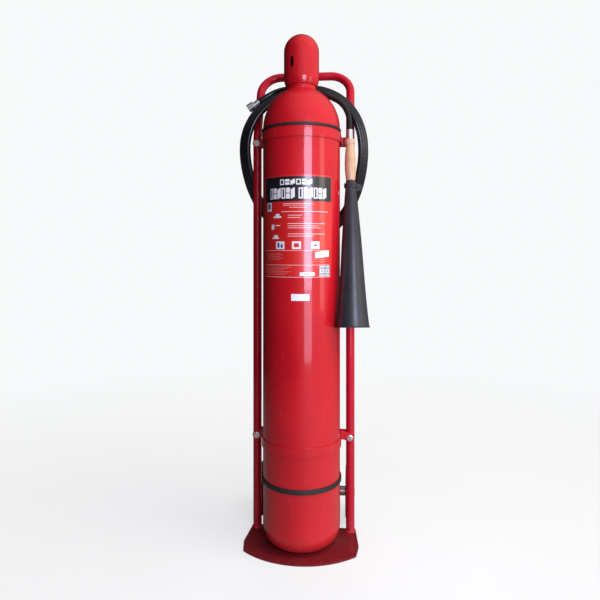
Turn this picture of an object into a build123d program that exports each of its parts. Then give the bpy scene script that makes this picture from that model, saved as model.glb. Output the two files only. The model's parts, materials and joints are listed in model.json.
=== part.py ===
from build123d import *

import os
from math import acos, cos, pi, radians, sin, tan

# Wheeled carbon dioxide fire extinguisher: a tall steel cylinder clamped to a bent tube frame.
# Origin: on the floor, under the cylinder's axis. +X points to the horn's side, -Y to the front
# and +Z up. All sizes are in millimetres.

os.makedirs("parts", exist_ok=True)

# Cylinder
CYL_R = 109.5
CYL_WALL = 6.5
PLATE_T = 5.0
KNUCKLE_R = 50.0
BASE_DISH = 16.0
SHOULDER_Z = 1172.0
SHOULDER_H = 120.0
DOME_STEPS = 5
NECK_R = 27.0
NECK_TOP_Z = 1300.0
THREAD_R = 14.0

# Neck ring and valve cap
RING_R = 41.0
RING_TOP_Z = 1295.0
SPIGOT_R = 38.0
SPIGOT_TOP_Z = 1306.0
CAP_R = 50.0
CAP_WALL = 4.0
CAP_DOME_Z = 1392.5
CAP_LIP_R = 44.0
CAP_STRAIGHT_Z = 1318.0
VENT_W = 13.0
VENT_H = 31.0
VENT_Z = 1354.0
VENT_ANGLE = -28.5

# Valve inside the cap
BLOCK_W = 34.0
BODY_TOP_Z = 1346.0
BONNET_R = 17.0
BONNET_TOP_Z = 1360.0
STEM_L = 32.0
PORT_R = 5.0
OUTLET_R = 10.9
OUTLET_END = 35.0
PLUG_R = 9.0
PLUG_HEAD = 9.0
PLUG_DEPTH = 8.0
SPINDLE_R = 5.0
SPINDLE_SEAT = 10.0
WHEEL_Z = 1376.0
HANDWHEEL_R = 29.0
HANDWHEEL_T = 13.0
GRIPS = 8
GRIP_CUT_R = 8.0
BOSS_R = 10.0
BOSS_H = 8.0
WHEEL_NUT_H = 6.0
DIP_R = 7.0
DIP_WALL = 1.5
DIP_SEAT = 12.0
DIP_LOW_Z = 40.0
FIT = 0.05

# Rubber rings, label and sticker
UPPER_RING_Z = 1167.0
LOWER_RING_Z = 186.0
LABEL_T = 0.4
LABEL_Z = (756.0, 1031.0)
LABEL_ARC = (-63.5, 54.0)
STICKER_Z = (695.0, 713.0)
STICKER_ARC = (-9.0, 16.5)

# Frame tube
TUBE_R = 12.5
TUBE_WALL = 2.0
TUBE_X = 138.0
TUBE_Y = 62.0
HANDLE_Y = 146.0
HANDLE_Z = 1369.0
LEAN_Z = 1168.0
LEAN_R = 60.0
HANDLE_R = 62.0

# Toe plate
PLATE_REAR = (153.0, 75.0)
PLATE_SIDE = (162.0, -22.0)
PLATE_CORNER = (155.0, -68.0)
PLATE_FRONT = 127.0
TONGUE_X = 98.0
TONGUE_Y = 180.0

# Clamps
BAND_T = 3.0
BAND_H = 25.0
UPPER_BAND_Z = 1146.0
LOWER_BAND_Z = 290.0
LOWER_EAR_DROP = 7.0
EAR_R = 12.0
EAR_ROOT = 6.0
BAND_BEND_R = 4.5
BOLT_R = 4.0
BOLT_HOLE_R = 4.3
BOLT_HEAD_R = 7.5
BOLT_HEAD_H = 5.3
BOLT_CROWN = (6.2, 4.6, 1.2)
BOLT_SPARE = 3.0
WASHER_R = 9.0
WASHER_T = 1.6
NUT_R = 7.5
NUT_H = 6.5
SADDLE_T = 4.0
SADDLE_ARC_Y = 45.0
SADDLE_LUG = 40.0
SKIN_GAP = 0.1

# Wheels
WHEEL_R = 80.0
WHEEL_Y = 157.0
WHEEL_X = 134.0
WHEEL_W = 22.0
RIM_R = 62.0
RIM_DEPTH = 7.0
TREAD_R = 7.0
WEB_T = 7.0
WEB_HOLES = 5
WEB_HOLE_R = 9.5
WEB_HOLE_AT = 37.0
HUB_R = 19.0
BUSH_R = 13.0
WHEEL_GAP = 0.3
AXLE_R = 10.0
AXLE_END = 151.5
AXLE_WASHER_T = 1.8
PIN_R = 1.3
PIN_INSET = 2.8
PIN_DOWN = 15.0
PIN_UP = 13.0
BRACKET_X = 91.0
BRACKET_T = 6.0
BRACKET_FOOT_Y = 87.0
EYE_WALL = 9.0

# Hose: a loose coil of large turns hung round the neck
HOSE_R = 8.0
BUNDLE_R = 18.5
COIL_HALF_WIDTH = 178.0
COIL_Z = 1120.0
COIL_UP = 189.0
COIL_DOWN = 250.0
COIL_POINTS = 24
COIL_DEPTH = (82.0, 35.0, 22.0, 4.0)
LEAD_STRAIGHT = 20.0
FILLET_SHARE = 0.45

# Hose coupling, with distances along its axis from the hose's end
TAIL_R = 8.6
TAIL_END = 17.0
NIPPLE_R = 6.2
NUT_START = 20.0
NUT_FLOOR = 24.0
FLANGE_R = 7.8
FLANGE_END = 27.0
SEAL_R = 9.0
SEAL_BORE_R = 4.0
SEAL_END = 29.0
NUT_END = 40.0
COUPLING_HEX_R = 13.5
COUPLING_ROUND_R = 13.0

# Horn, its wooden handle and its holder, all on one straight axis
HORN_TOP = Vector(139.5, 0.0, 1025.0)
HORN_MOUTH = Vector(146.5, -60.0, 619.0)
HORN_WALL = 3.0
HORN_MOUTH_R = 44.5
HORN_THROAT_R = 12.2
HANDLE_LENGTH = 121.0
FERRULE_LENGTH = 30.0
FERRULE_R = 9.5
FERRULE_SEAT = 12.0
FERRULE_BORE_R = 4.0
FERRULE_CAP = 6.0
PIPE_R = 7.0
PIPE_WALL = 2.0
THROAT_L = 14.0
HOLDER_DOWN = 13.0
CLIP_R = 16.8
CLIP_T = 2.2
CLIP_H = 14.0
CLIP_MOUTH = 27.0
HOLDER_WEB = 6.0
HOLDER_PLATE = (50.0, 20.0)
HOLDER_PLATE_X = 148.0
SCREW_DROP = 16.0
SCREW_R = 2.5
SCREW_HEAD_R = 4.8
SCREW_HEAD_H = 3.0

# Places that follow from the sizes above
OUTLET_Z = (NECK_TOP_Z + BODY_TOP_Z) / 2
LEG_FRONT = TUBE_Y - TUBE_R
LEG_BACK = TUBE_Y + TUBE_R
EAR_FRONT = LEG_FRONT - BAND_T


def save(shape, name):
    """Write one sub-part to its own STEP file."""
    shape.label = name
    export_step(shape, "parts/" + name + ".step")
    return shape


def turned(points_and_arcs):
    """Revolve a closed half profile, drawn as (radius, height), about the vertical axis."""
    face = make_face(Plane.XZ * points_and_arcs)
    return revolve(face, Axis.Z)


def tube_ring(inner, outer, low, high):
    """A plain upright ring."""
    ring = Cylinder(outer, high - low) - Cylinder(inner, high - low)
    return Pos(0, 0, (low + high) / 2) * ring


def rod(radius, start, end):
    """A round bar from one point to another."""
    run = end - start
    return extrude(Plane(start, z_dir=run) * Circle(radius), run.length)


def hex_prism(radius, start, end):
    """A hexagonal bar across the corners, from one point to another."""
    run = end - start
    return extrude(Plane(start, z_dir=run) * RegularPolygon(radius, 6), run.length)


def front_angle(angle):
    """Turn an angle from the front (-Y), towards +X, into one from +X."""
    return angle - 90.0


def skin(inner, thickness, arc, heights):
    """A thin curved sheet on the cylinder, between two angles from the front."""
    low, high = heights
    profile = Plane.XZ * Pos(inner + thickness / 2, (low + high) / 2) * Rectangle(thickness, high - low)
    sheet = revolve(profile, Axis.Z, revolution_arc=arc[1] - arc[0])
    return Rot(0, 0, front_angle(arc[0])) * sheet


def hose_ring(turn):
    """The centre of the hose bundle, where turn is 0 at the top and 90 degrees at the +X side."""
    t = radians(turn)
    drop = COIL_UP if cos(t) > 0 else COIL_DOWN
    depth = COIL_DEPTH[0] - COIL_DEPTH[1] * cos(t) + COIL_DEPTH[2] * cos(2 * t) + COIL_DEPTH[3] * cos(3 * t)
    return Vector(COIL_HALF_WIDTH * sin(t), depth, COIL_Z + drop * cos(t))


def fillet_radii(points, closed=False):
    """The largest smooth radius at each corner of a hose route."""
    corners = range(len(points)) if closed else range(1, len(points) - 1)
    radii = []
    for i in corners:
        before = points[i] - points[i - 1]
        after = points[(i + 1) % len(points)] - points[i]
        half_turn = radians(before.get_angle(after)) / 2
        radii.append(FILLET_SHARE * min(before.length, after.length) / tan(half_turn))
    return radii


def hose_tube(points, radius, name):
    """A hose along straight runs joined by tangent arcs."""
    radii = fillet_radii(points)
    path = FilletPolyline(*points, radius=radii)
    tube = sweep(Plane(points[0], z_dir=points[1] - points[0]) * Circle(radius), path)
    straight = pi * radius**2 * path.length
    print(name, "radii", [round(r) for r in radii], "length", round(path.length, 1),
          "volume over section times length", round(tube.volume / straight, 4))
    return tube


# Cylinder, neck ring and rings

def dome_curve(wall_r, height, end_r):
    """The half profile of a domed shoulder: a quarter ellipse, stopped at the neck's radius."""
    end = acos(end_r / wall_r)
    steps = [end * i / DOME_STEPS for i in range(DOME_STEPS + 1)]
    points = [(wall_r * cos(t), SHOULDER_Z + height * sin(t)) for t in steps]
    end_way = (-wall_r * sin(end), height * cos(end))
    return Spline(*points, tangents=((0, 1), end_way))


def cylinder_solid():
    """The outside of the cylinder, with its dished base, domed shoulder and short neck."""
    flat_r = CYL_R - KNUCKLE_R
    knuckle = CenterArc((flat_r, PLATE_T + KNUCKLE_R), KNUCKLE_R, -90, 90)
    dish = ThreePointArc(
        (0, PLATE_T + BASE_DISH),
        (flat_r / 2 - 3, PLATE_T + BASE_DISH * 0.75),
        (flat_r - 6, PLATE_T),
    )
    foot = Line(dish @ 1, (flat_r, PLATE_T))
    wall = Line((CYL_R, PLATE_T + KNUCKLE_R), (CYL_R, SHOULDER_Z))
    shoulder = dome_curve(CYL_R, SHOULDER_H, NECK_R)
    neck = Polyline(shoulder @ 1, (NECK_R, NECK_TOP_Z), (0, NECK_TOP_Z), (0, PLATE_T + BASE_DISH))
    return turned(Curve() + [dish, foot, knuckle, wall, shoulder, neck])


def cylinder_cavity():
    """The gas space, up to and through the threaded neck."""
    inner_r = CYL_R - CYL_WALL
    flat_r = CYL_R - KNUCKLE_R
    low = PLATE_T + CYL_WALL
    inner_dome = SHOULDER_H - 2 * CYL_WALL
    knuckle = CenterArc((flat_r, PLATE_T + KNUCKLE_R), KNUCKLE_R - CYL_WALL, -90, 90)
    dish = ThreePointArc(
        (0, low + BASE_DISH + 1),
        (flat_r / 2, low + BASE_DISH * 0.75 + 1),
        (flat_r, low),
    )
    wall = Line((inner_r, PLATE_T + KNUCKLE_R), (inner_r, SHOULDER_Z))
    dome = dome_curve(inner_r, inner_dome, THREAD_R)
    top = NECK_TOP_Z + 1
    bore = Polyline(dome @ 1, (THREAD_R, top), (0, top), (0, low + BASE_DISH + 1))
    return turned(Curve() + [dish, knuckle, wall, dome, bore])


def rubber_ring(middle, height, thickness):
    """A stretched rubber ring round the cylinder, with its outer edges rounded off."""
    section = Pos(CYL_R + thickness / 2, middle) * Rectangle(thickness, height)
    outer = section.vertices().sort_by(Axis.X)[-2:]
    return revolve(Plane.XZ * fillet(outer, thickness * 0.6), Axis.Z)


outside = cylinder_solid()
shell = save(outside - cylinder_cavity(), "cylinder_shell")

collar = tube_ring(NECK_R, RING_R, RING_TOP_Z - 20, RING_TOP_Z)
collar = chamfer(collar.edges().group_by(Axis.Z)[-1].sort_by(SortBy.RADIUS)[-1], 1)
collar += tube_ring(NECK_R, SPIGOT_R, RING_TOP_Z, SPIGOT_TOP_Z)
save(collar - outside, "neck_ring")

save(rubber_ring(UPPER_RING_Z, 8, 3), "upper_rubber_ring")
save(rubber_ring(LOWER_RING_Z, 13, 4), "lower_rubber_ring")
save(skin(CYL_R, LABEL_T, LABEL_ARC, LABEL_Z), "front_label")
save(skin(CYL_R, LABEL_T, STICKER_ARC, STICKER_Z), "small_sticker")


# Valve and its cap

def valve_cap():
    """A domed steel cap, screwed on the neck ring, with a vent slot on each side."""
    lip_arc = TangentArc((CAP_R, CAP_STRAIGHT_Z), (CAP_LIP_R, RING_TOP_Z), tangent=(0, -1))
    side = Line((CAP_R, CAP_STRAIGHT_Z), (CAP_R, CAP_DOME_Z))
    dome = CenterArc((0, CAP_DOME_Z), CAP_R, 0, 90)
    core = Polyline(dome @ 1, (0, RING_TOP_Z), lip_arc @ 1)
    solid = turned(Curve() + [lip_arc, side, dome, core])
    inner_r = CAP_R - CAP_WALL
    room = Line((inner_r, CAP_STRAIGHT_Z), (inner_r, CAP_DOME_Z))
    ceiling = CenterArc((0, CAP_DOME_Z), inner_r, 0, 90)
    thread_r = SPIGOT_R + FIT
    thread_top = SPIGOT_TOP_Z + 2
    mouth = Polyline(ceiling @ 1, (0, RING_TOP_Z - 1), (thread_r, RING_TOP_Z - 1),
                     (thread_r, thread_top), room @ 0)
    solid -= turned(Curve() + [room, ceiling, mouth])
    vents = Plane((0, 0, VENT_Z), x_dir=(0, 0, 1), z_dir=(1, 0, 0)) * SlotOverall(VENT_H, VENT_W)
    return solid - Rot(0, 0, front_angle(VENT_ANGLE)) * extrude(vents, CAP_R + 5, both=True)


def valve_body():
    """A brass valve: threaded stem, square body, bonnet, and a male outlet towards +X."""
    stem_low = Vector(0, 0, NECK_TOP_Z - STEM_L)
    neck_top = Vector(0, 0, NECK_TOP_Z)
    body_top = Vector(0, 0, BODY_TOP_Z)
    bonnet_top = Vector(0, 0, BONNET_TOP_Z)
    block = Pos(0, 0, OUTLET_Z) * Box(BLOCK_W, BLOCK_W, BODY_TOP_Z - NECK_TOP_Z)
    body = fillet(block.edges().filter_by(Axis.Z), 6)
    body += rod(THREAD_R, stem_low, neck_top)
    body += hex_prism(BONNET_R, body_top, bonnet_top)
    body += rod(OUTLET_R, Vector(0, 0, OUTLET_Z), Vector(OUTLET_END, 0, OUTLET_Z))
    body -= rod(PORT_R, Vector(PORT_R, 0, OUTLET_Z), Vector(OUTLET_END, 0, OUTLET_Z))
    body -= rod(SPINDLE_R + FIT, body_top - Vector(0, 0, SPINDLE_SEAT), bonnet_top)
    body -= rod(DIP_R, stem_low, stem_low + Vector(0, 0, DIP_SEAT))
    plug_floor = Vector(PLUG_DEPTH - BLOCK_W / 2, 0, OUTLET_Z)
    return body - rod(PORT_R, Vector(-BLOCK_W / 2, 0, OUTLET_Z), plug_floor)


def handwheel():
    """A lobed handwheel."""
    wheel = Cylinder(HANDWHEEL_R, HANDWHEEL_T)
    wheel = fillet(wheel.edges().filter_by(GeomType.CIRCLE), 3)
    for i in range(GRIPS):
        notch = Pos(HANDWHEEL_R + GRIP_CUT_R / 2, 0) * Cylinder(GRIP_CUT_R, HANDWHEEL_T)
        wheel -= Rot(0, 0, 360 * i / GRIPS) * notch
    wheel += Pos(0, 0, -(HANDWHEEL_T + BOSS_H) / 2) * Cylinder(BOSS_R, BOSS_H)
    wheel -= Cylinder(SPINDLE_R, 3 * HANDWHEEL_T)
    return Pos(0, 0, WHEEL_Z + HANDWHEEL_T / 2) * wheel


save(valve_cap(), "valve_cap")
save(valve_body(), "valve_body")
save(handwheel(), "handwheel")
wheel_top = Vector(0, 0, WHEEL_Z + HANDWHEEL_T)
spindle_low = Vector(0, 0, BODY_TOP_Z - SPINDLE_SEAT + 1)
nut_top = wheel_top + Vector(0, 0, WHEEL_NUT_H)
spindle = rod(SPINDLE_R, spindle_low, nut_top + Vector(0, 0, 2))
save(spindle, "valve_spindle")
save(hex_prism(BOSS_R - 1, wheel_top, nut_top) - spindle, "handwheel_nut")
plug_face = Vector(-BLOCK_W / 2, 0, OUTLET_Z)
burst_plug = hex_prism(PLUG_R, plug_face - Vector(PLUG_HEAD, 0, 0), plug_face)
burst_plug += rod(PORT_R, plug_face, plug_face + Vector(PLUG_DEPTH, 0, 0))
save(burst_plug, "burst_disc_plug")
dip_ends = (Vector(0, 0, DIP_LOW_Z), Vector(0, 0, NECK_TOP_Z - STEM_L + DIP_SEAT))
save(rod(DIP_R, *dip_ends) - rod(DIP_R - DIP_WALL, *dip_ends), "dip_tube")


# Frame: bent tube, toe plate, clamps and saddles

def bent_tube(radius):
    """The frame tube's solid at one radius: two legs that lean back into the handle."""
    feet = [Vector(TUBE_X, TUBE_Y, PLATE_T), Vector(TUBE_X, TUBE_Y, LEAN_Z)]
    handle = [Vector(TUBE_X, HANDLE_Y, HANDLE_Z), Vector(-TUBE_X, HANDLE_Y, HANDLE_Z)]
    other = [Vector(-TUBE_X, TUBE_Y, LEAN_Z), Vector(-TUBE_X, TUBE_Y, PLATE_T)]
    radii = [LEAN_R, HANDLE_R, HANDLE_R, LEAN_R]
    path = FilletPolyline(*feet, *handle, *other, radius=radii)
    return sweep(Plane(feet[0]) * Circle(radius), path)


def toe_plate():
    """The flat foot plate, with a rear tongue that carries the axle brackets."""
    rear_x, rear_y = PLATE_REAR
    side_x, side_y = PLATE_SIDE
    corner_x, corner_y = PLATE_CORNER
    front = ThreePointArc((corner_x, corner_y), (0, -PLATE_FRONT), (-corner_x, corner_y))
    back = Polyline(front @ 1, (-side_x, side_y), (-rear_x, rear_y), (rear_x, rear_y),
                    (side_x, side_y), front @ 0)
    outline = make_face(Curve() + [front, back])
    outline = fillet(outline.vertices().group_by(Axis.Y)[0:2], 9)
    tongue = Pos(0, (rear_y + TONGUE_Y) / 2 - 10) * Rectangle(2 * TONGUE_X, TONGUE_Y - rear_y + 20)
    return extrude(outline + tongue, PLATE_T)


def clamp_band(middle, ear_drop):
    """A steel strap round the front of the cylinder, with an ear on each frame leg."""
    strap_r = CYL_R + SKIN_GAP + BAND_T / 2
    ear_y = LEG_FRONT - BAND_T / 2
    ear_root = strap_r + EAR_ROOT
    right = FilletPolyline((ear_root, ear_y), (strap_r, ear_y), (strap_r, 0), radius=BAND_BEND_R)
    left = FilletPolyline((-strap_r, 0), (-strap_r, ear_y), (-ear_root, ear_y), radius=BAND_BEND_R)
    front = CenterArc((0, 0), strap_r, 180, 180)
    strap = trace(Curve() + [left, front, right], BAND_T)
    band = Pos(0, 0, middle - BAND_H / 2) * extrude(strap, BAND_H)
    for side in (1, -1):
        root = Pos(side * ear_root, middle) * Rectangle(0.1, BAND_H)
        tip = Pos(side * TUBE_X, middle - ear_drop) * Circle(EAR_R)
        ear = make_hull(root.edges() + tip.edges())
        ear -= Pos(side * TUBE_X, middle - ear_drop) * Circle(BOLT_HOLE_R)
        plate = Plane((0, ear_y + BAND_T / 2, 0), x_dir=(1, 0, 0), z_dir=(0, -1, 0)) * ear
        band += extrude(plate, BAND_T)
    return band


def rear_saddle(middle, leg):
    """A curved strip behind the cylinder, welded between the two legs."""
    inner = Circle(CYL_R + SKIN_GAP)
    strip = Circle(CYL_R + SKIN_GAP + SADDLE_T) - inner
    strip &= Pos(0, CYL_R) * Rectangle(3 * CYL_R, 2 * (CYL_R - SADDLE_ARC_Y))
    for side in (1, -1):
        strip += Pos(side * (TUBE_X - 2 * TUBE_R), TUBE_Y) * Rectangle(SADDLE_LUG, 2 * SADDLE_T)
    saddle = Pos(0, 0, middle - BAND_H / 2) * extrude(strip - inner, BAND_H)
    return saddle - leg


tube_solid = bent_tube(TUBE_R)
bolt_heights = (UPPER_BAND_Z, LOWER_BAND_Z - LOWER_EAR_DROP)
bolt_places = [Vector(side * TUBE_X, 0, z) for side in (1, -1) for z in bolt_heights]
frame_tube = tube_solid - bent_tube(TUBE_R - TUBE_WALL)
for place in bolt_places:
    frame_tube -= rod(BOLT_HOLE_R, place, place + Vector(0, 2 * TUBE_Y, 0))
save(frame_tube, "frame_tube")
save(toe_plate(), "toe_plate")
save(clamp_band(UPPER_BAND_Z, 0), "upper_clamp_band")
save(clamp_band(LOWER_BAND_Z, LOWER_EAR_DROP), "lower_clamp_band")
save(rear_saddle(UPPER_BAND_Z, tube_solid), "upper_rear_saddle")
save(rear_saddle(LOWER_BAND_Z, tube_solid), "lower_rear_saddle")


def clamp_bolt(place):
    """A hexagon bolt with a slightly crowned head, through a band's ear and a leg."""
    head_low = place + Vector(0, EAR_FRONT - WASHER_T, 0)
    head_top = head_low - Vector(0, BOLT_HEAD_H, 0)
    tip = place + Vector(0, LEG_BACK + WASHER_T + NUT_H + BOLT_SPARE, 0)
    crown = Pos(*head_top) * Rot(90, 0, 0) * Cone(*BOLT_CROWN)
    return hex_prism(BOLT_HEAD_R, head_low, head_top) + crown + rod(BOLT_R, head_low, tip)


def clamp_washer(place, start):
    """A plain washer on a clamp bolt."""
    ends = (place + Vector(0, start, 0), place + Vector(0, start + WASHER_T, 0))
    return rod(WASHER_R, *ends) - rod(BOLT_HOLE_R, *ends)


def clamp_nut(place):
    """A hexagon nut behind a leg."""
    start = LEG_BACK + WASHER_T
    ends = (place + Vector(0, start, 0), place + Vector(0, start + NUT_H, 0))
    return hex_prism(NUT_R, *ends) - rod(BOLT_R, *ends)


bolts = [clamp_bolt(place) for place in bolt_places]
washers = [clamp_washer(place, start) for place in bolt_places for start in (EAR_FRONT - WASHER_T, LEG_BACK)]
nuts = [clamp_nut(place) for place in bolt_places]
save(Compound(children=bolts), "clamp_bolts")
save(Compound(children=washers), "clamp_washers")
save(Compound(children=nuts), "clamp_nuts")


# Axle and wheels

def axle_bracket(side):
    """An upright plate on the tongue, with a bore for the axle."""
    foot_y = (BRACKET_FOOT_Y + TONGUE_Y - 3) / 2
    foot = Pos(foot_y, PLATE_T + 1) * Rectangle(TONGUE_Y - 3 - BRACKET_FOOT_Y, 2)
    eye = Pos(WHEEL_Y, WHEEL_R) * Circle(AXLE_R + EYE_WALL)
    outline = make_hull(foot.edges() + eye.edges()) - Pos(WHEEL_Y, WHEEL_R) * Circle(AXLE_R)
    face = Plane((side * BRACKET_X - BRACKET_T / 2, 0, 0), x_dir=(0, 1, 0), z_dir=(1, 0, 0)) * outline
    return extrude(face, BRACKET_T)


def on_axle(shape, along):
    """Turn a shape built about the vertical axis onto the axle."""
    return Pos(along, WHEEL_Y, WHEEL_R) * Rot(0, 90, 0) * shape


def wheel_rim():
    """A hub, a web with round holes and a rim flange."""
    rim = tube_ring(BUSH_R, HUB_R, -WHEEL_W / 2, WHEEL_W / 2)
    rim += tube_ring(HUB_R - 1, RIM_R - 1, -WEB_T / 2, WEB_T / 2)
    rim += tube_ring(RIM_R - RIM_DEPTH, RIM_R, 1 - WHEEL_W / 2, WHEEL_W / 2 - 1)
    for i in range(WEB_HOLES):
        rim -= Rot(0, 0, 360 * i / WEB_HOLES) * Pos(WEB_HOLE_AT, 0) * Cylinder(WEB_HOLE_R, WEB_T + 2)
    return rim


def tyre():
    """A solid rubber tyre with a rounded tread."""
    section = Pos((RIM_R + WHEEL_R) / 2, 0) * Rectangle(WHEEL_R - RIM_R, WHEEL_W)
    outer = section.vertices().sort_by(Axis.X)[-2:]
    return revolve(Plane.XZ * fillet(outer, TREAD_R), Axis.Z)


def pin_shank(side):
    """The straight leg of a split pin, through the axle's end."""
    middle = Vector(side * (AXLE_END - PIN_INSET), WHEEL_Y, WHEEL_R)
    return rod(PIN_R, middle - Vector(0, 0, PIN_DOWN), middle + Vector(0, 0, PIN_UP))


def split_pin(side):
    """A split pin with its eye on top."""
    eye_z = WHEEL_R + PIN_UP + 2 * PIN_R - 1
    eye = Pos(side * (AXLE_END - PIN_INSET), WHEEL_Y, eye_z) * Rot(0, 90, 0) * Torus(2 * PIN_R, PIN_R - 0.1)
    return pin_shank(side) + eye


axle = rod(AXLE_R, Vector(-AXLE_END, WHEEL_Y, WHEEL_R), Vector(AXLE_END, WHEEL_Y, WHEEL_R))
axle = chamfer(axle.edges().filter_by(GeomType.CIRCLE), 1)
bracket_face = BRACKET_X + BRACKET_T / 2
wheel_face = WHEEL_X - WHEEL_W / 2 - WHEEL_GAP
spacer = tube_ring(AXLE_R, AXLE_R + 4, bracket_face, wheel_face)
washer_start = WHEEL_X + WHEEL_W / 2 + WHEEL_GAP
axle_washer = tube_ring(AXLE_R, AXLE_R + 7, washer_start, washer_start + AXLE_WASHER_T)
bush = tube_ring(AXLE_R + FIT, BUSH_R, -WHEEL_W / 2, WHEEL_W / 2)
for side, name in ((1, "right"), (-1, "left")):
    save(axle_bracket(side), name + "_axle_bracket")
    save(on_axle(wheel_rim(), side * WHEEL_X), name + "_wheel_rim")
    save(on_axle(tyre(), side * WHEEL_X), name + "_tyre")
    save(on_axle(bush, side * WHEEL_X), name + "_bush")
    axle -= pin_shank(side)
save(axle, "axle")
to_left = Rot(0, 180, 0)
save(Compound(children=[on_axle(spacer, 0), on_axle(to_left * spacer, 0)]), "axle_spacers")
save(Compound(children=[on_axle(axle_washer, 0), on_axle(to_left * axle_washer, 0)]), "axle_washers")
save(Compound(children=[split_pin(1), split_pin(-1)]), "split_pins")


# Horn, wooden handle, ferrule and holder

horn_axis = (HORN_MOUTH - HORN_TOP).normalized()
horn_length = (HORN_MOUTH - HORN_TOP).length
HORN_PLANE = Plane(HORN_TOP, x_dir=(1, 0, 0), z_dir=horn_axis)


def along_horn(distance):
    """A point on the horn's axis, at a distance below the handle's lower end."""
    return HORN_TOP + horn_axis * distance


def horn_outline(inset, start):
    """The solid of the horn's flare, drawn in by an inset."""
    flare = Spline(
        (HORN_THROAT_R + 1.3 - inset, start),
        (17.2 - inset, 42),
        (29.0 - inset, 197),
        (34.6 - inset, 290),
        (HORN_MOUTH_R - inset, horn_length),
    )
    rest = Polyline(flare @ 1, (0, horn_length), (0, start), flare @ 0)
    return turned(Curve() + [flare, rest])


def horn():
    """A long flared horn with a thick throat, open at its mouth."""
    solid = horn_outline(0, 0) - horn_outline(HORN_WALL, THROAT_L)
    return HORN_PLANE * (solid - Pos(0, 0, THROAT_L / 2) * Cylinder(PIPE_R, THROAT_L + 4))


def wooden_handle():
    """A turned handle: a collar, a narrow neck, a full grip and a tapered end."""
    grip = Spline((11.7, -101), (13.8, -84), (15.9, -44), (14.6, -18), (12.4, -1))
    collar = Spline(
        (13.6, -HANDLE_LENGTH),
        (14.9, -116),
        (13.6, -108),
        (11.7, -101),
        tangents=((1, 1), (0, 1)),
    )
    foot = Polyline(grip @ 1, (11.6, 0), (0, 0), (0, -HANDLE_LENGTH), collar @ 0)
    solid = turned(Curve() + [collar, grip, foot])
    return HORN_PLANE * (solid - Pos(0, 0, -HANDLE_LENGTH / 2) * Cylinder(PIPE_R, HANDLE_LENGTH + 2))


handle_top = along_horn(-HANDLE_LENGTH)
ferrule_top = along_horn(-HANDLE_LENGTH - FERRULE_LENGTH)
pipe_top = along_horn(-HANDLE_LENGTH - FERRULE_SEAT)
ferrule = rod(FERRULE_R, handle_top, ferrule_top)
ferrule = fillet(ferrule.edges().filter_by(GeomType.CIRCLE), 1)
ferrule -= rod(PIPE_R, handle_top, pipe_top)
ferrule -= rod(FERRULE_BORE_R, handle_top, along_horn(FERRULE_CAP - HANDLE_LENGTH - FERRULE_LENGTH))
pipe_ends = (pipe_top, along_horn(THROAT_L))
save(rod(PIPE_R, *pipe_ends) - rod(PIPE_R - PIPE_WALL, *pipe_ends), "horn_pipe")
save(horn(), "horn")
save(wooden_handle(), "horn_handle")
save(ferrule, "hose_ferrule")


def horn_holder():
    """A spring clip round the horn's throat, on a plate screwed to the right leg."""
    ring = Circle(CLIP_R + CLIP_T) - Circle(CLIP_R)
    ring -= Pos(-CLIP_R / 2, 2 - CLIP_R) * Rectangle(CLIP_MOUTH, 2 * CLIP_R)
    clip = Pos(holder_at.X, holder_at.Y, holder_at.Z - CLIP_H / 2) * extrude(ring, CLIP_H)
    web_start = holder_at.Y + CLIP_R + CLIP_T / 5
    web_length = LEG_FRONT - web_start
    clip += Pos(holder_at.X, web_start + web_length / 2, holder_at.Z) * Box(HOLDER_WEB, web_length, CLIP_H)
    outline = Pos(HOLDER_PLATE_X, holder_at.Z) * SlotOverall(*HOLDER_PLATE)
    outline += Pos(TUBE_X, screw_z + 10) * Rectangle(20, 32)
    plate = Plane((0, LEG_FRONT, 0), x_dir=(1, 0, 0), z_dir=(0, -1, 0)) * outline
    clip += extrude(plate, BAND_T)
    return clip - rod(SCREW_R, Vector(TUBE_X, 0, screw_z), Vector(TUBE_X, TUBE_Y, screw_z))


holder_at = along_horn(HOLDER_DOWN)
screw_z = holder_at.Z - SCREW_DROP
save(horn_holder(), "horn_holder")
screw_seat = Vector(TUBE_X, EAR_FRONT, screw_z)
screw = rod(SCREW_R, screw_seat, Vector(TUBE_X, LEG_FRONT, screw_z))
screw += rod(SCREW_HEAD_R, screw_seat - Vector(0, SCREW_HEAD_H, 0), screw_seat)
save(screw, "holder_screw")


# Hose

ring_points = [hose_ring(360 * i / COIL_POINTS) for i in range(COIL_POINTS)]
coil_path = FilletPolyline(*ring_points, radius=fillet_radii(ring_points, closed=True), close=True)
coil_start = coil_path @ 0
coil = sweep(Plane(coil_start, z_dir=coil_path % 0) * Circle(BUNDLE_R), coil_path)
print("coil volume over section times length",
      round(coil.volume / (pi * BUNDLE_R**2 * coil_path.length), 4), "turn", round(coil_path.length))
save(coil, "hose_coil")

lead_points = [
    ferrule_top,
    ferrule_top - horn_axis * LEAD_STRAIGHT,
    Vector(130.5, 31.5, 1223),
    Vector(117, 40, 1253),
    Vector(95.5, 51.5, 1279),
    Vector(70, 61, 1299.5),
]
save(hose_tube(lead_points, HOSE_R, "lead"), "hose_lead")

end_points = [Vector(-50, 70, 1314), Vector(-84, 70, 1304), Vector(-116, 72, 1288), Vector(-134, 73.5, 1277)]
save(hose_tube(end_points, HOSE_R, "end"), "hose_end")
end_way = (end_points[-1] - end_points[-2]).normalized()


def along_end(distance):
    """A point on the coupling's axis, past the hose's end."""
    return end_points[-1] + end_way * distance


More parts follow.
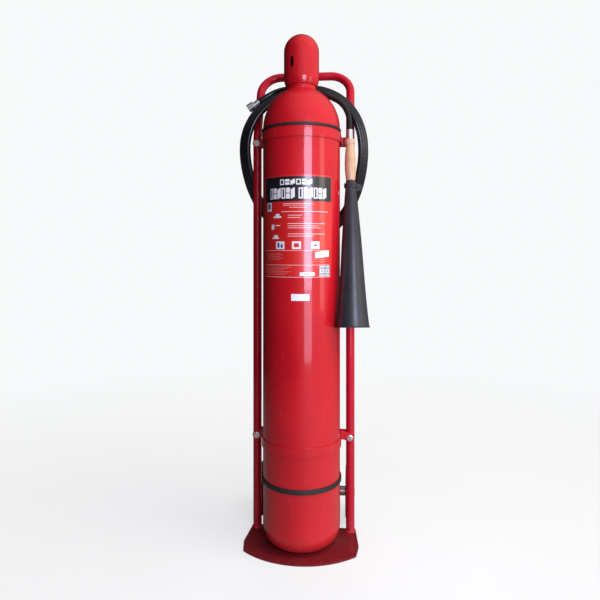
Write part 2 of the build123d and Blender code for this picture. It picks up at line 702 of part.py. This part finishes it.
tail = rod(TAIL_R, end_points[-1], along_end(TAIL_END))
tail += rod(NIPPLE_R, along_end(TAIL_END), along_end(NUT_FLOOR))
tail += rod(FLANGE_R, along_end(NUT_FLOOR), along_end(FLANGE_END))
save(tail, "coupling_tail")
nut_body = hex_prism(COUPLING_HEX_R, along_end(NUT_START), along_end(NUT_END))
nut_body &= rod(COUPLING_ROUND_R, along_end(NUT_START), along_end(NUT_END))
nut_body -= rod(NIPPLE_R + FIT, along_end(NUT_START), along_end(NUT_FLOOR))
nut_body -= rod(OUTLET_R, along_end(NUT_FLOOR), along_end(NUT_END))
save(nut_body, "coupling_nut")
seal_ends = (along_end(FLANGE_END), along_end(SEAL_END))
save(rod(SEAL_R, *seal_ends) - rod(SEAL_BORE_R, *seal_ends), "coupling_washer")
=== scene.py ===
import json
from math import cos, pi, radians, sin

import bmesh
import bpy
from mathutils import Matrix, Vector, noise


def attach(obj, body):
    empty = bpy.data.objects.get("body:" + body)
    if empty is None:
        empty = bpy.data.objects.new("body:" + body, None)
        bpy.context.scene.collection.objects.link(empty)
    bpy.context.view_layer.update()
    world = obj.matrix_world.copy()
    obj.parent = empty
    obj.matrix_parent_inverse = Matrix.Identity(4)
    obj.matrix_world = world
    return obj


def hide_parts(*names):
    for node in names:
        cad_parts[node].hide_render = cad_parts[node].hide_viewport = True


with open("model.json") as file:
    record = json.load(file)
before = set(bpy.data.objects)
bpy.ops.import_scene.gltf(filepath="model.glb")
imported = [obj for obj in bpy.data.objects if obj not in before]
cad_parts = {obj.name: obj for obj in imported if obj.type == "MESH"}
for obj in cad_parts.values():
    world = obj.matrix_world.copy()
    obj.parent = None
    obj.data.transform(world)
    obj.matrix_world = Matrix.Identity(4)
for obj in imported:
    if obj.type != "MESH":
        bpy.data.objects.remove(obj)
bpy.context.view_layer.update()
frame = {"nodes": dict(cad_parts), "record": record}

NODES = frame["nodes"]

# Sizes repeated from the CAD source, in metres
CYL_R = 0.1095
LABEL_R = CYL_R + 0.0004
HOSE_D = 0.016
RING_X = 0.0015
RING_Y = 0.082
RING_HALF_WIDTH = 0.1745
RING_LEFT_MORE = 0.004
RING_Z = 1.120
RING_UP = 0.189
RING_DOWN = 0.250
RING_RISE = 0.006
RING_DEPTH = (0.091, 0.047, 0.027, 0.008)
COUPLING_LEAD = Vector((-0.116, 0.0725, 1.288))
COUPLING = Vector((-0.134, 0.0735, 1.277))
HORN_TOP = Vector((0.1395, 0.0, 1.025))
HORN_MOUTH = Vector((0.1465, -0.060, 0.619))
HORN_AXIS = (HORN_MOUTH - HORN_TOP).normalized()
HANDLE_L = 0.121
FERRULE_L = 0.030
FERRULE_R = 0.0095
HORN_MOUTH_R = 0.0445
TUBE_X = 0.138
TUBE_Y = 0.062
TUBE_R = 0.0125
PLATE_T = 0.005
NECK_RING_R = 0.041
NECK_WELD_Z = 1.2836


# Camera

CAM_DISTANCE = 1.566
CAM_AZIMUTH = radians(5.5)
CAM_HEIGHT = 0.830

camera_data = bpy.data.cameras.new("camera")
camera = bpy.data.objects.new("camera", camera_data)
bpy.context.scene.collection.objects.link(camera)
camera.location = (CAM_DISTANCE * sin(CAM_AZIMUTH), -CAM_DISTANCE * cos(CAM_AZIMUTH), CAM_HEIGHT)
camera.rotation_euler = (radians(90), 0, CAM_AZIMUTH)
camera_data.sensor_width = 36
camera_data.lens = 32.94
camera_data.shift_x = -0.0025
camera_data.shift_y = -0.0833
bpy.context.scene.camera = camera


# Materials

def add(tree, kind, props=None, **inputs):
    """Adds a shader node; an input that is a socket is linked, any other value is set."""
    node = tree.nodes.new("ShaderNode" + kind)
    for key, value in (props or {}).items():
        setattr(node, key, value)
    for key, value in inputs.items():
        by_number = key[0] == "i" and key[1:].isdigit()
        socket = node.inputs[int(key[1:]) if by_number else key.replace("_", " ")]
        if isinstance(value, bpy.types.NodeSocket):
            tree.links.new(value, socket)
        else:
            socket.default_value = value
    return node


def coords(tree, scale=(1, 1, 1), rotation=(0, 0, 0)):
    where = add(tree, "TexCoord")
    return add(tree, "Mapping", Vector=where.outputs["Object"], Scale=scale, Rotation=rotation).outputs[0]


def noise_of(tree, where, scale, detail=4.0, roughness=0.55):
    return add(tree, "TexNoise", Vector=where, Scale=scale, Detail=detail, Roughness=roughness).outputs["Fac"]


def ramp(tree, value, stops):
    """A colour ramp; stops are (place, grey or colour)."""
    node = add(tree, "ValToRGB", Fac=value)
    elements = node.color_ramp.elements
    while len(elements) < len(stops):
        elements.new(0.5)
    for element, (place, colour) in zip(elements, stops):
        element.position = place
        element.color = (colour,) * 3 + (1,) if isinstance(colour, (int, float)) else tuple(colour) + (1,)
    return node.outputs["Color"]


def mix(tree, factor, a, b):
    node = add(tree, "Mix", {"data_type": "RGBA"})
    for socket, value in ((node.inputs[0], factor), (node.inputs[6], a), (node.inputs[7], b)):
        if isinstance(value, bpy.types.NodeSocket):
            tree.links.new(value, socket)
        elif socket.type == "RGBA":
            socket.default_value = tuple(value) + (1,)
        else:
            socket.default_value = value
    return node.outputs[2]


def maths(tree, operation, a, b=0.0):
    return add(tree, "Math", {"operation": operation}, i0=a, i1=b).outputs[0]


def finish_of(name, **sockets):
    """A new Principled material, with its constant sockets set."""
    material = bpy.data.materials.new(name)
    material.use_nodes = True
    body = material.node_tree.nodes["Principled BSDF"]
    for key, value in sockets.items():
        body.inputs[key.replace("_", " ")].default_value = value
    return material.node_tree, body, material


def bump(tree, body, layers, socket="Normal"):
    """Bump layers, each (height socket, strength, distance)."""
    normal = None
    for height, strength, distance in layers:
        node = add(tree, "Bump", Strength=strength, Distance=distance, Height=height)
        if normal:
            tree.links.new(normal, node.inputs["Normal"])
        normal = node.outputs[0]
    tree.links.new(normal, body.inputs[socket])


def paint(name, colour, deep, dust_top, coat=0.7, peel=0.10, dust_most=0.16):
    """Glossy stoved paint: uneven depth, orange peel, fine scuffs, and small chips and dust low down."""
    tree, body, material = finish_of(
        name, Coat_Weight=coat, Coat_Roughness=0.07, Coat_IOR=1.5, Specular_IOR_Level=0.12,
    )
    where = coords(tree)
    cloud = noise_of(tree, where, 5.0, 5.0)
    base = mix(tree, ramp(tree, cloud, [(0.35, 0.0), (0.7, 1.0)]), deep, colour)
    scratch = noise_of(tree, coords(tree, (260, 260, 18), (0.3, 0.2, 0)), 1.0, 3.0)
    scuffs = ramp(tree, scratch, [(0.66, 0.0), (0.72, 0.30)])
    base = mix(tree, scuffs, base, [min(1.0, c + 0.10) for c in colour])
    height = add(tree, "SeparateXYZ", Vector=where).outputs[2]
    near_floor = add(tree, "MapRange", Value=height, i1=0.16, i2=0.02, i3=0.0, i4=1.0).outputs[0]
    spots = ramp(tree, noise_of(tree, where, 170.0, 2.0, 0.4), [(0.745, 0.0), (0.76, 1.0)])
    chips = maths(tree, "MULTIPLY", spots, near_floor)
    base = mix(tree, chips, base, (0.10, 0.05, 0.045))
    low = add(tree, "MapRange", Value=height, i1=dust_top, i2=0.0, i3=0.0, i4=dust_most).outputs[0]
    speckle = ramp(tree, noise_of(tree, where, 90.0, 8.0, 0.75), [(0.35, 0.0), (0.75, 1.0)])
    dust = maths(tree, "MULTIPLY", low, speckle)
    base = mix(tree, dust, base, (0.34, 0.27, 0.23))
    tree.links.new(base, body.inputs["Base Color"])
    grain = ramp(tree, noise_of(tree, where, 30.0, 6.0, 0.65), [(0.3, 0.30), (0.75, 0.42)])
    tree.links.new(maths(tree, "ADD", grain, maths(tree, "MULTIPLY", dust, 0.4)), body.inputs["Roughness"])
    orange = noise_of(tree, where, 260.0, 2.0, 0.4)
    bump(tree, body, [(orange, peel, 0.0006), (chips, 0.4, 0.0003)])
    ripple = noise_of(tree, where, 90.0, 1.0, 0.4)
    bump(tree, body, [(ripple, peel * 0.6, 0.0008)], "Coat Normal")
    return material


def moulded(name, colour, rough, scale=300.0, strength=0.15, pale=(0.10, 0.10, 0.105), scuff=0.5, rub=0.68):
    """Moulded rubber or plastic, with fine grain, clouding and pale scuffs."""
    tree, body, material = finish_of(name, IOR=1.5)
    where = coords(tree)
    cloud = ramp(tree, noise_of(tree, where, 14.0, 5.0), [(0.3, 0.0), (0.75, 1.0)])
    base = mix(tree, cloud, colour, [c * 1.5 + 0.002 for c in colour])
    streaks = noise_of(tree, coords(tree, (120, 120, 30)), 1.0, 4.0)
    rubbed = ramp(tree, streaks, [(rub, 0.0), (rub + 0.08, scuff)])
    base = mix(tree, rubbed, base, pale)
    tree.links.new(base, body.inputs["Base Color"])
    grain = ramp(tree, noise_of(tree, where, 40.0, 5.0), [(0.3, rough - 0.05), (0.7, rough + 0.08)])
    tree.links.new(maths(tree, "ADD", grain, maths(tree, "MULTIPLY", rubbed, 0.3)), body.inputs["Roughness"])
    bump(tree, body, [(noise_of(tree, where, scale, 3.0), strength, 0.0003)])
    return material


def metal(name, colour, rough, stretch=(900, 900, 60), tarnish=(0.35, 0.33, 0.30), stain=0.35):
    """Bare metal with fine tool marks, a little tarnish and uneven gloss."""
    tree, body, material = finish_of(name, Metallic=1.0)
    where = coords(tree)
    spots = ramp(tree, noise_of(tree, where, 120.0, 5.0, 0.65), [(0.5, 0.0), (0.78, stain)])
    tree.links.new(mix(tree, spots, colour, tarnish), body.inputs["Base Color"])
    lines = noise_of(tree, coords(tree, stretch), 1.0, 3.0)
    grain = ramp(tree, lines, [(0.3, rough - 0.06), (0.7, rough + 0.10)])
    tree.links.new(maths(tree, "ADD", grain, maths(tree, "MULTIPLY", spots, 0.25)), body.inputs["Roughness"])
    bump(tree, body, [(lines, 0.12, 0.0002)])
    return material


def turned_wood(name):
    """Pale turned wood: long grain along the handle, growth bands, pores and a thin varnish."""
    tree, body, material = finish_of(name, Coat_Weight=0.25, Coat_Roughness=0.25)
    tilt = (radians(8.4), 0, 0)
    bands = add(
        tree, "TexWave", {"bands_direction": "X"}, Vector=coords(tree, (1, 1, 0.10), tilt),
        Scale=70.0, Distortion=5.0, Detail=3.0, Detail_Scale=2.0,
    ).outputs["Fac"]
    fibres = noise_of(tree, coords(tree, (900, 900, 22), tilt), 1.0, 5.0, 0.6)
    base = mix(tree, ramp(tree, bands, [(0.2, 0.0), (0.95, 0.75)]), (0.66, 0.42, 0.27), (0.52, 0.30, 0.17))
    base = mix(tree, ramp(tree, fibres, [(0.42, 0.0), (0.7, 0.55)]), base, (0.42, 0.23, 0.12))
    hands = ramp(tree, noise_of(tree, coords(tree), 26.0, 4.0), [(0.5, 0.0), (0.75, 0.35)])
    base = mix(tree, hands, base, (0.36, 0.20, 0.11))
    tree.links.new(base, body.inputs["Base Color"])
    tree.links.new(ramp(tree, fibres, [(0.3, 0.38), (0.7, 0.55)]), body.inputs["Roughness"])
    bump(tree, body, [(fibres, 0.18, 0.0004)])
    return material


def print_ink(name, colour, rough=0.32, wear=0.25):
    """Screen-printed ink or a paper sticker: slightly mottled, a little worn."""
    tree, body, material = finish_of(name, Coat_Weight=0.8, Coat_Roughness=0.10)
    where = coords(tree)
    mottle = ramp(tree, noise_of(tree, where, 180.0, 5.0, 0.7), [(0.45, 0.0), (0.75, wear)])
    tree.links.new(mix(tree, mottle, colour, [c * 0.72 for c in colour]), body.inputs["Base Color"])
    tree.links.new(ramp(tree, mottle, [(0.0, rough), (0.3, rough + 0.12)]), body.inputs["Roughness"])
    bump(tree, body, [(noise_of(tree, where, 400.0, 2.0), 0.06, 0.0002)])
    return material


LOOKS = {
    "cylinder_red": paint("cylinder_paint", (0.56, 0.010, 0.018), (0.47, 0.006, 0.013), 0.08),
    "frame_red": paint("frame_paint", (0.50, 0.007, 0.026), (0.42, 0.004, 0.018), 0.10, 0.45),
    "plate_red": paint("plate_paint", (0.19, 0.004, 0.010), (0.13, 0.003, 0.007), 0.03, 0.3, 0.14, 0.10),
    "black_rubber": moulded("ring_rubber", (0.012, 0.010, 0.010), 0.55),
    "hose_rubber": moulded(
        "hose_skin", (0.005, 0.005, 0.007), 0.27, 520.0, 0.12, (0.035, 0.038, 0.045), 0.3,
    ),
    "horn_plastic": moulded(
        "horn_moulding", (0.020, 0.021, 0.026), 0.34, 420.0, 0.16, (0.11, 0.10, 0.10), 0.4,
    ),
    "clip_plastic": moulded("clip_moulding", (0.014, 0.013, 0.013), 0.45),
    "wheel_plastic": moulded("wheel_moulding", (0.020, 0.020, 0.021), 0.45),
    "tyre_rubber": moulded(
        "tyre_skin", (0.022, 0.021, 0.020), 0.72, 500.0, 0.4, (0.13, 0.12, 0.11), 0.7, 0.60,
    ),
    "zinc_steel": metal("zinc_plate", (0.72, 0.72, 0.70), 0.28),
    "bare_aluminium": metal(
        "aluminium", (0.92, 0.93, 0.95), 0.34, (200, 200, 1600), (0.55, 0.54, 0.52), 0.25,
    ),
    "valve_brass": metal("brass", (0.72, 0.52, 0.22), 0.30, (700, 700, 500), (0.30, 0.18, 0.08)),
    "turned_wood": turned_wood("handle_wood"),
    "label_print": print_ink("label_red", (0.62, 0.016, 0.014)),
    "sticker_white": print_ink("sticker_paper", (0.80, 0.85, 0.92), 0.30, 0.15),
    "handwheel_green": moulded("handwheel_moulding", (0.02, 0.13, 0.08), 0.40),
}
INK_WHITE = print_ink("ink_white", (0.82, 0.80, 0.80), 0.35, 0.35)
INK_PINK = print_ink("ink_pink", (0.78, 0.30, 0.28), 0.35, 0.35)
INK_BLACK = print_ink("ink_black", (0.010, 0.011, 0.015), 0.30, 0.3)
INK_GREY = print_ink("ink_grey", (0.26, 0.30, 0.34), 0.35, 0.35)
INK_BLUE = print_ink("ink_blue", (0.03, 0.05, 0.22), 0.35, 0.35)

BANDS = ("upper_clamp_band", "lower_clamp_band")
slots = {row["node"]: row["material_slot"] for row in frame["record"]["subparts"]}
for node, thing in NODES.items():
    thing.data.materials.clear()
    thing.data.materials.append(LOOKS["cylinder_red" if node in BANDS else slots[node]])


# Meshes and curves

ROUND_STEPS = 10

def link(name, data, body, look):
    """A new piece that rides on a CAD body."""
    thing = bpy.data.objects.new(name, data)
    bpy.context.scene.collection.objects.link(thing)
    data.materials.clear()
    data.materials.append(look)
    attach(thing, body)
    return thing


def mesh_from(name, bm):
    bmesh.ops.recalc_face_normals(bm, faces=bm.faces)
    data = bpy.data.meshes.new(name)
    bm.to_mesh(data)
    bm.free()
    return data


def nurbs(name, points, radius):
    """A round bar or hose along a smooth spline."""
    data = bpy.data.curves.new(name, "CURVE")
    data.dimensions = "3D"
    data.bevel_depth = radius
    data.bevel_resolution = ROUND_STEPS
    data.resolution_u = 6
    data.use_fill_caps = True
    spline = data.splines.new("NURBS")
    spline.points.add(len(points) - 1)
    for place, point in zip(points, spline.points):
        point.co = tuple(place) + (1,)
    spline.order_u = 3
    spline.use_endpoint_u = True
    return data


# Hose: from the ferrule, three times round the neck in a flat row, over its top, and out to the coupling

PITCH = 0.0166
START_TURN = 36.0
END_TURN = -8.0
COIL_STEPS = 28
SHIFT_SHARE = 0.24
FULL_TURNS = 3
LEAD_STRAIGHT = 0.020
TAIL_STRAIGHT = 0.018
REACH_SHARE = 0.38
LEAD_POINTS = 5
TAIL_POINTS = 3
LEAN_TOP = 56.0
LEAN_MORE = 8.0


def eased(value):
    return value * value * (3 - 2 * value)


def ring_centre(turn):
    """The middle of the hose bundle; turn is 0 at the top and 90 degrees at the +X side."""
    t = radians(turn)
    reach = RING_UP if cos(t) > 0 else RING_DOWN
    deep = RING_DEPTH[0] - RING_DEPTH[1] * cos(t) + RING_DEPTH[2] * cos(2 * t) + RING_DEPTH[3] * cos(3 * t)
    rise = RING_RISE * sin(t) * max(0.0, cos(t))
    half = RING_HALF_WIDTH + RING_LEFT_MORE * max(0.0, -sin(t))
    return Vector((RING_X + half * sin(t), deep, RING_Z + reach * cos(t) + rise))


def row_way(turn):
    """The direction from the innermost turn to the outermost: outward, and leaning to the back."""
    along = (ring_centre(turn - 1) - ring_centre(turn + 1)).normalized()
    back = (Vector((0, 1, 0)) - along * along.y).normalized()
    out = back.cross(along)
    if out.dot(ring_centre(turn) - Vector((RING_X, RING_Y, RING_Z))) < 0:
        out = -out
    lean = radians(LEAN_TOP + LEAN_MORE * sin(radians(turn)))
    return out * cos(lean) + back * sin(lean)


def hose_place(progress):
    """A point of the hose; progress counts whole turns from the lead's end. Each turn shifts one place
    along the row, near the top, so that the row is centred everywhere else."""
    turn = START_TURN - 360 * progress
    lap = min(int(progress), FULL_TURNS)
    part = progress - lap
    joining = max(0.0, 1 - part / SHIFT_SHARE)
    leaving = max(0.0, 1 - (1 - part) / SHIFT_SHARE) if lap < FULL_TURNS else 0.0
    place = lap - 1 - 0.5 * eased(joining) + 0.5 * eased(leaving)
    return ring_centre(turn) + row_way(turn) * PITCH * place


def sweep_between(start, start_way, end, end_way, count):
    """Points of a smooth curve between two places, leaving and arriving along the given directions."""
    reach = (end - start).length * REACH_SHARE
    near, far = start + start_way * reach, end - end_way * reach
    points = []
    for i in range(1, count + 1):
        u = i / (count + 1)
        v = 1 - u
        points.append(start * v ** 3 + near * (3 * u * v * v) + far * (3 * u * u * v) + end * u ** 3)
    return points


ferrule_top = HORN_TOP - HORN_AXIS * (HANDLE_L + FERRULE_L)
above_ferrule = ferrule_top - HORN_AXIS * LEAD_STRAIGHT
tail_way = (COUPLING - COUPLING_LEAD).normalized()
before_coupling = COUPLING - tail_way * TAIL_STRAIGHT
laps = FULL_TURNS + (START_TURN - END_TURN) / 360
steps = round(laps * COIL_STEPS)
turns = [hose_place(laps * step / steps) for step in range(steps + 1)]
lead = sweep_between(above_ferrule, -HORN_AXIS, turns[0], (turns[1] - turns[0]).normalized(), LEAD_POINTS)
coil_way = (turns[-1] - turns[-2]).normalized()
tail = sweep_between(turns[-1], coil_way, before_coupling, tail_way, TAIL_POINTS)
hose_points = [ferrule_top, above_ferrule] + lead + turns + tail + [before_coupling, COUPLING]


hose = link("hose", nurbs("hose", hose_points, HOSE_D / 2), "frame", LOOKS["hose_rubber"])
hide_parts("hose_coil", "hose_lead", "hose_end")


# Weld beads, crimps and rims

BEAD_SIDES = 10
BEAD_STEPS = 48
STEPS_PER_LUMP = 6


def ring_piece(name, centre, way, radius, thick, slot, lumps=0):
    """A round bead about an axis; lumps give it the scales of a weld."""
    turned_to = way.to_track_quat("Z", "Y")
    count = max(BEAD_STEPS, lumps * STEPS_PER_LUMP)
    bm = bmesh.new()
    rows = []
    for i in range(count):
        a = radians(360.0 * i / count)
        swell = 1 + 0.22 * abs(sin(lumps * i / count * pi)) if lumps else 1.0
        drift = 0.12 * noise.noise(Vector((cos(a) * 3, sin(a) * 3, radius * 50))) if lumps else 0.0
        r = thick * (swell + drift)
        row = []
        for k in range(BEAD_SIDES):
            b = 2 * pi * k / BEAD_SIDES
            spot = Vector(((radius + r * cos(b)) * cos(a), (radius + r * cos(b)) * sin(a), r * sin(b)))
            row.append(bm.verts.new(centre + turned_to @ spot))
        rows.append(row)
    for a, b in zip(rows, rows[1:] + rows[:1]):
        for k in range(BEAD_SIDES):
            bm.faces.new((a[k], a[(k + 1) % BEAD_SIDES], b[(k + 1) % BEAD_SIDES], b[k]))
    for face in bm.faces:
        face.smooth = True
    return link(name, mesh_from(name, bm), "frame", LOOKS[slot])


UP = Vector((0, 0, 1))
FOOT_WELD_R = TUBE_R + 0.0008
NECK_WELD_R = NECK_RING_R + 0.0002
HORN_RIM_R = HORN_MOUTH_R - 0.0006
for side, x in (("left", -TUBE_X), ("right", TUBE_X)):
    foot = Vector((x, TUBE_Y, PLATE_T + 0.0008))
    ring_piece(side + "_foot_weld", foot, UP, FOOT_WELD_R, 0.0024, "frame_red", lumps=30)
ring_piece("neck_weld", Vector((0, 0, NECK_WELD_Z)), UP, NECK_WELD_R, 0.0016, "cylinder_red", lumps=60)
ring_piece("horn_rim", HORN_MOUTH - HORN_AXIS * 0.0025, HORN_AXIS, HORN_RIM_R, 0.0021, "horn_plastic")
for i, down in enumerate((0.004, 0.010, 0.016, 0.025)):
    spot = ferrule_top + HORN_AXIS * down
    ring_piece("ferrule_crimp_" + str(i + 1), spot, HORN_AXIS, FERRULE_R, 0.0006, "bare_aluminium")


# Label graphics: thin closed patches on the label, all of them plain shapes

def on_label(angle, z, lift):
    a = radians(angle)
    return Vector(((LABEL_R + lift) * sin(a), -(LABEL_R + lift) * cos(a), z))


def patch(bm, angle0, angle1, z0, z1, skew=0.0, lift=0.00012):
    """Adds one curved rectangle, a closed thin solid, from angle0 to angle1 and z0 to z1."""
    count = max(1, round(abs(angle1 - angle0) / 3))
    rows = []
    for i in range(count + 1):
        angle = angle0 + (angle1 - angle0) * i / count
        rise = skew * i / count
        places = [(z0 + rise, lift), (z1 + rise, lift), (z1 + rise, -0.0002), (z0 + rise, -0.0002)]
        rows.append([bm.verts.new(on_label(angle, z, up)) for z, up in places])
    for a, b in zip(rows, rows[1:]):
        for k in range(4):
            bm.faces.new((a[k], a[(k + 1) % 4], b[(k + 1) % 4], b[k]))
    bm.faces.new(rows[0])
    bm.faces.new(rows[-1][::-1])


def print_piece(name, look, shapes, lift=0.00012):
    bm = bmesh.new()
    for shape in shapes:
        patch(bm, *shape, lift=lift)
    return link(name, mesh_from(name, bm), "frame", look)


def mark(kind, a0, a1, z0, z1, stroke):
    """One plain mark: a hollow frame, a barred block, or a pair of steps."""
    edge = radians(stroke) * LABEL_R
    middle = (z0 + z1) / 2
    if kind == 0:
        sides = [(a0, a0 + stroke, z0, z1), (a1 - stroke, a1, z0, z1)]
        return sides + [(a0 + stroke, a1 - stroke, z0, z0 + edge), (a0 + stroke, a1 - stroke, z1 - edge, z1)]
    if kind == 1:
        return [(a0, a1, z0, middle - edge / 3), (a0, a1, middle + edge / 3, z1)]
    return [(a0, (a0 + a1) / 2, z0, z1 - edge), ((a0 + a1) / 2, a1, z0 + edge, z1)]


def row_of_marks(a0, a1, z0, z1, count, stroke):
    """Plain marks side by side where a maker would put words."""
    step = (a1 - a0) / count
    width = step * 0.82
    places = [(i % 3, a0 + step * i) for i in range(count)]
    return [shape for kind, a in places for shape in mark(kind, a, a + width, z0, z1, stroke)]


def line(angle0, angle1, z, thick=0.0011):
    return (angle0, angle1, z - thick / 2, z + thick / 2)


print_piece("label_header", INK_BLACK, [(-57.5, 52.2, 0.9600, 1.0263)])
header_marks = row_of_marks(-26.0, 22.0, 1.0040, 1.0190, 6, 1.5)
header_marks += row_of_marks(-44.5, -2.5, 0.9670, 0.9960, 6, 1.7)
header_marks += row_of_marks(1.5, 44.0, 0.9670, 0.9960, 6, 1.7)
print_piece("label_header_marks", INK_WHITE, header_marks, 0.00020)
rules = [line(-24, 46, 0.9325)]
rules += [line(-60, 48, 0.8285, 0.0008), line(-60, 48, 0.7900, 0.0008), line(-60, 50, 0.7575, 0.0008)]
rules += [line(-21, 21, 0.9535), line(-21, 19, 0.9490, 0.0008), line(-12, 14, 0.9435)]
body_lines = ((0.9225, 6), (0.9165, 4), (0.9005, 40), (0.8945, 30), (0.8890, 33), (0.8730, 40), (0.8670, 22))
for z, end in body_lines:
    rules.append(line(-14, end, z))
print_piece("label_rules", INK_WHITE, rules)
fine = [line(-52, -26 + 5 * (i % 2), 0.8210 - 0.0042 * i, 0.0007) for i in range(5)]
fine += [line(-55, -8 - 6 * (i % 3), 0.7845 - 0.0041 * i, 0.0007) for i in range(6)]
fine += [line(22, 46 - 6 * (i % 2), 0.8050 - 0.0060 * i, 0.0007) for i in range(2)]
print_piece("label_fine_lines", INK_PINK, fine)
badge = [(-52, -42, 0.9350, 0.9580)]
squares = [(-33, -19, 0.8325, 0.8530), (-7.8, 4.8, 0.8325, 0.8530), (18.8, 31.4, 0.8325, 0.8530)]
hands = [(-38, -24, 0.9160, 0.9205), (-34, -27, 0.9205, 0.9270), (-42, -36.5, 0.8850, 0.8985),
         (-34, -26, 0.8945, 0.8970), (-40, -28, 0.8600, 0.8640), (-37, -30, 0.8640, 0.8700)]
print_piece("label_pictograms", INK_WHITE, badge + squares + hands)
marks = [(-49.5, -44.5, 0.9405, 0.9545), (-30.5, -27, 0.8365, 0.8490), (-25, -21.5, 0.8365, 0.8450),
         (22.5, 27.5, 0.8410, 0.8445)]
print_piece("label_marks_blue", INK_BLUE, marks, 0.00020)
print_piece("label_marks_red", LOOKS["label_print"], [(-5.2, 2.0, 0.8375, 0.8480)], 0.00020)
code = [(32.2 + 2.4 * i, 33.7 + 2.4 * i, 0.7610 + 0.0038 * j, 0.7636 + 0.0038 * j)
        for i in range(7) for j in range(7) if (3 * i + 5 * j + i * j) % 4 != 1]
print_piece("label_code_ground", INK_GREY, [(31, 49.5, 0.7590, 0.7885)])
print_piece("label_code_squares", INK_WHITE, code, 0.00020)
paper = LOOKS["sticker_white"]
tilted = [(24.8, 47.5, 0.8080, 0.8245, 0.0045)]
print_piece("label_tilted_sticker", paper, tilted, 0.00026)
print_piece("label_small_sticker", paper, [(3, 24, 0.7615, 0.7705)], 0.00020)
small_marks = [(9, 11.5, 0.7640, 0.7680), (13, 15.5, 0.7640, 0.7680)]
print_piece("label_small_marks", INK_BLUE, small_marks, 0.00028)


# Stage and light

def area_light(name, azimuth, distance, height, size, power, colour, aim_height):
    """A soft box that faces the cylinder; azimuth 0 is the front and 90 degrees the +X side."""
    data = bpy.data.lights.new(name, "AREA")
    data.shape = "RECTANGLE"
    data.size, data.size_y = size
    data.energy = power
    data.color = colour
    light = bpy.data.objects.new(name, data)
    a = radians(azimuth)
    light.location = (distance * sin(a), -distance * cos(a), height)
    aim = Vector((0, 0, aim_height)) - light.location
    light.rotation_euler = aim.to_track_quat("-Z", "Y").to_euler()
    light.visible_camera = False
    bpy.context.scene.collection.objects.link(light)
    return light


area_light("window", 24, 2.1, 1.09, (0.80, 1.04), 34, (0.70, 0.73, 1.0), 1.09)
area_light("window_low", 24, 2.1, 0.34, (0.80, 0.44), 5, (0.78, 0.80, 1.0), 0.34)
area_light("warm_strip", 67, 2.1, 1.00, (0.55, 1.10), 5, (1.0, 0.82, 0.64), 1.00)
high_box = area_light("high_box", 66, 2.4, 3.4, (2.2, 2.2), 95, (1.0, 0.96, 0.93), 0.8)
high_box.visible_glossy = False
back_box = area_light("back_box", 188, 2.6, 1.7, (1.6, 1.6), 30, (1.0, 0.98, 0.96), 0.7)
back_box.visible_glossy = False

FLOOR_R = 5.0
bm = bmesh.new()
bmesh.ops.create_circle(bm, cap_ends=True, segments=96, radius=FLOOR_R)
floor = bpy.data.objects.new("floor", mesh_from("floor", bm))
bpy.context.scene.collection.objects.link(floor)
floor.location.z = -0.0005
tree, body, material = finish_of("floor_paper", Roughness=0.75)
where = coords(tree)
pale = ramp(tree, noise_of(tree, where, 3.0, 3.0), [(0.3, 0.84), (0.7, 0.88)])
tree.links.new(pale, body.inputs["Base Color"])
away = add(tree, "VectorMath", {"operation": "LENGTH"}, i0=where).outputs["Value"]
fade = add(tree, "MapRange", Value=away, i1=0.4, i2=2.4, i3=0.34, i4=0.0).outputs[0]
tree.links.new(fade, body.inputs["Alpha"])
floor.data.materials.append(material)

world = bpy.data.worlds.new("studio")
bpy.context.scene.world = world
world.use_nodes = True
sky = world.node_tree
sky.nodes.clear()
ray = add(sky, "LightPath")
way = add(sky, "TexCoord").outputs["Generated"]
facing = add(sky, "VectorMath", {"operation": "DOT_PRODUCT"}, i0=way, i1=(0.76, -0.38, 0.53)).outputs["Value"]
glow = add(
    sky, "MapRange", {"interpolation_type": "SMOOTHSTEP"}, Value=facing, i1=-0.10, i2=1.0, i3=0.015, i4=0.75,
)
lit = add(sky, "Background", Color=(1.0, 0.98, 0.96, 1), Strength=glow.outputs[0])
seen = add(sky, "Background", Color=(0.93, 0.94, 0.95, 1), Strength=1.0)
both = add(sky, "MixShader", Fac=ray.outputs["Is Camera Ray"], i1=lit.outputs[0], i2=seen.outputs[0])
out = add(sky, "OutputWorld", Surface=both.outputs[0])
bpy.context.scene.view_settings.view_transform = "Standard"
